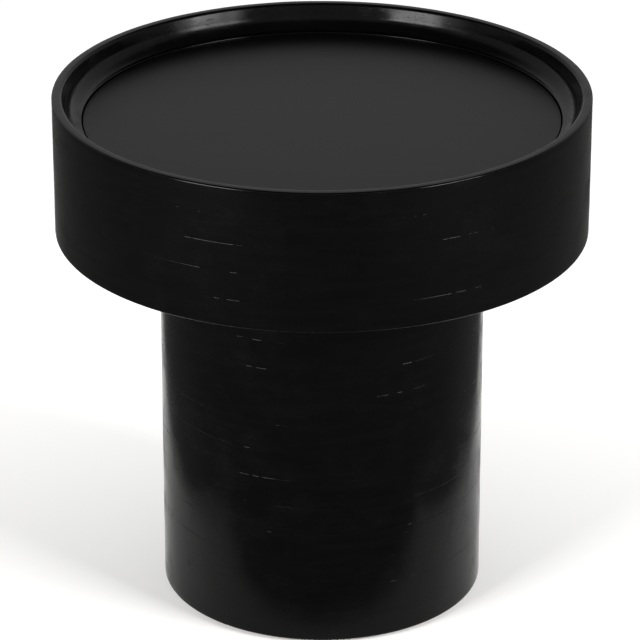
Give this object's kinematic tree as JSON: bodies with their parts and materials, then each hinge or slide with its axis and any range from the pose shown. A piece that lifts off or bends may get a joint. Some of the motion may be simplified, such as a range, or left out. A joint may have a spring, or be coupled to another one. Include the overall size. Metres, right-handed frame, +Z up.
{
  "type": "round pedestal side table",
  "caption": "Round side table of black lacquered wood: a deep drum with a coved tray on top, on a thick hollow round pedestal, for setting things down beside a seat.",
  "frame": {"origin": "middle of the footprint at floor level, under the felt pads", "axes": "+Z up along the table's turning axis; X and Y level, with fasteners on both"},
  "size_m": [0.45, 0.45, 0.448],
  "materials": {
    "black_lacquered_wood": "satin",
    "black_panel": "satin",
    "plain_board": "matte",
    "zinc_steel": "satin",
    "brass": "satin",
    "felt": "matte"
  },
  "bodies": {
    "root": {"rim_course_1": "black_lacquered_wood", "rim_course_2": "black_lacquered_wood", "rim_course_3": "black_lacquered_wood", "rim_course_4": "black_lacquered_wood", "rim_course_5": "black_lacquered_wood", "tray_panel": "black_panel", "base_board": "plain_board", "pedestal_course_01": "black_lacquered_wood", "pedestal_course_02": "black_lacquered_wood", "pedestal_course_03": "black_lacquered_wood", "pedestal_course_04": "black_lacquered_wood", "pedestal_course_05": "black_lacquered_wood", "pedestal_course_06": "black_lacquered_wood", "pedestal_course_07": "black_lacquered_wood", "pedestal_course_08": "black_lacquered_wood", "pedestal_course_09": "black_lacquered_wood", "pedestal_course_10": "black_lacquered_wood", "pedestal_course_11": "black_lacquered_wood", "pedestal_course_12": "black_lacquered_wood", "pedestal_course_13": "black_lacquered_wood", "head_plate": "plain_board", "clamp_bolts": "zinc_steel", "bolt_washers": "zinc_steel", "threaded_inserts": "brass", "board_screws": "zinc_steel", "plate_screws": "zinc_steel", "felt_pads": "felt"}
  },
  "joints": []
}
